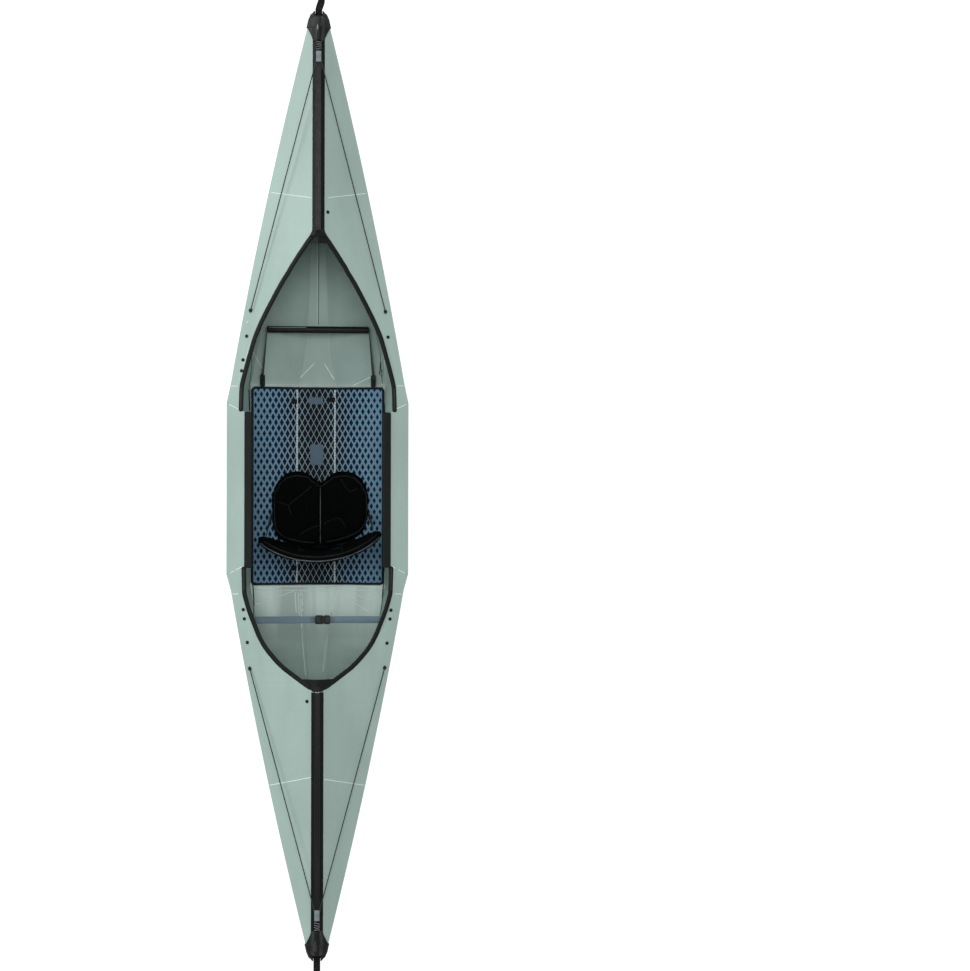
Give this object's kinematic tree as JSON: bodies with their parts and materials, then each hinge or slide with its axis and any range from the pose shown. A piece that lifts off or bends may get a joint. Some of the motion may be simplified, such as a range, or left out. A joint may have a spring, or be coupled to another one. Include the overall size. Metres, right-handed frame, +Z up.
{
  "type": "folding kayak",
  "caption": "Open-cockpit folding kayak of creased twin-wall sheet, with seam channels, padded floor, seat with tilting backrest, sliding footrest, end caps and grab loops.",
  "frame": {"origin": "under the middle of the flat keel panel, on the surface that the kayak stands on", "axes": "+Y to the bow, +X to the right hand of someone seated in it, +Z up"},
  "size_m": [0.7218, 3.922, 0.424],
  "materials": {
    "hull_sheet": "satin translucent sheet",
    "edge_rubber": "matt extruded rubber",
    "channel_plastic": "satin extruded plastic",
    "moulded_plastic": "fine grained moulding",
    "grey_webbing": "woven webbing",
    "black_webbing": "woven webbing",
    "cord": "braided cord",
    "floor_mat": "closed-cell foam with a printed diamond net",
    "seat_fabric": "padded woven cloth",
    "pin_steel": "brushed"
  },
  "bodies": {
    "hull": {"keel_panel_bow": "hull_sheet", "keel_panel_mid": "hull_sheet", "keel_panel_stern": "hull_sheet", "bilge_panel_bow_left": "hull_sheet", "side_panel_bow_left": "hull_sheet", "bilge_panel_bow_right": "hull_sheet", "side_panel_bow_right": "hull_sheet", "bilge_panel_mid_left": "hull_sheet", "side_panel_mid_left": "hull_sheet", "bilge_panel_mid_right": "hull_sheet", "side_panel_mid_right": "hull_sheet", "bilge_panel_stern_left": "hull_sheet", "side_panel_stern_left": "hull_sheet", "bilge_panel_stern_right": "hull_sheet", "side_panel_stern_right": "hull_sheet", "side_deck_left": "hull_sheet", "side_rail_left": "edge_rubber", "floor_board_left": "floor_mat", "footrest_strap_left": "black_webbing", "footrest_buckle_left": "moulded_plastic", "cross_strap_left": "grey_webbing", "side_deck_right": "hull_sheet", "side_rail_right": "edge_rubber", "floor_board_right": "floor_mat", "footrest_strap_right": "black_webbing", "footrest_buckle_right": "moulded_plastic", "cross_strap_right": "grey_webbing", "deck_panel_bow_left": "hull_sheet", "coaming_trim_bow_left": "edge_rubber", "deck_panel_bow_right": "hull_sheet", "coaming_trim_bow_right": "edge_rubber", "deck_channel_bow": "channel_plastic", "apex_plate_bow": "moulded_plastic", "ladder_lock_bow": "moulded_plastic", "tension_strap_bow": "grey_webbing", "deck_cord_bow": "cord", "deck_panel_stern_left": "hull_sheet", "coaming_trim_stern_left": "edge_rubber", "deck_panel_stern_right": "hull_sheet", "coaming_trim_stern_right": "edge_rubber", "deck_channel_stern": "channel_plastic", "apex_plate_stern": "moulded_plastic", "ladder_lock_stern": "moulded_plastic", "tension_strap_stern": "grey_webbing", "deck_cord_stern": "cord", "floor_board_centre": "floor_mat", "buckle_female": "moulded_plastic"},
    "seat": {"seat_pad": "seat_fabric", "backrest_strap_left": "black_webbing", "backrest_strap_right": "black_webbing"},
    "backrest": {"backrest_pad": "seat_fabric"},
    "footrest": {"footrest_bar": "moulded_plastic"},
    "buckle_tongue": {"buckle_male": "moulded_plastic"},
    "bow_cap": {"end_cap_bow": "moulded_plastic", "handle_pin_bow": "pin_steel"},
    "stern_cap": {"end_cap_stern": "moulded_plastic", "handle_pin_stern": "pin_steel"},
    "bow_handle": {"grab_loop_bow": "black_webbing"},
    "stern_handle": {"grab_loop_stern": "black_webbing"}
  },
  "joints": [
    {"name": "seat_slide", "type": "slide", "parent": "hull", "child": "seat", "axis": [0, 1, 0], "range_m": [-0.06, 0.06]},
    {"name": "backrest_tilt", "type": "hinge", "parent": "seat", "child": "backrest", "pos_m": [0.011, -0.2485, 0.0575], "axis": [0.9982, 0.0599, 0], "range_deg": [-20, 15], "deforming": ["backrest_strap_left", "backrest_strap_right"]},
    {"name": "footrest_slide", "type": "slide", "parent": "hull", "child": "footrest", "axis": [0, 0.9963, 0.0865], "range_m": [-0.06, 0.06], "deforming": ["footrest_strap_left", "footrest_strap_right"]},
    {"name": "buckle_release", "type": "slide", "parent": "hull", "child": "buckle_tongue", "axis": [1, 0, 0], "range_m": [0, 0.04], "deforming": ["cross_strap_right"]},
    {"name": "bow_cap_slide", "type": "slide", "parent": "hull", "child": "bow_cap", "axis": [0, 1, 0], "range_m": [0, 0.09]},
    {"name": "stern_cap_slide", "type": "slide", "parent": "hull", "child": "stern_cap", "axis": [0, -1, 0], "range_m": [0, 0.09]},
    {"name": "bow_handle_swing", "type": "hinge", "parent": "bow_cap", "child": "bow_handle", "pos_m": [0, 1.868, 0.31828], "axis": [1, 0, 0], "range_deg": [-55, 90]},
    {"name": "stern_handle_swing", "type": "hinge", "parent": "stern_cap", "child": "stern_handle", "pos_m": [0, -1.868, 0.31828], "axis": [-1, 0, 0], "range_deg": [-55, 90]}
  ]
}
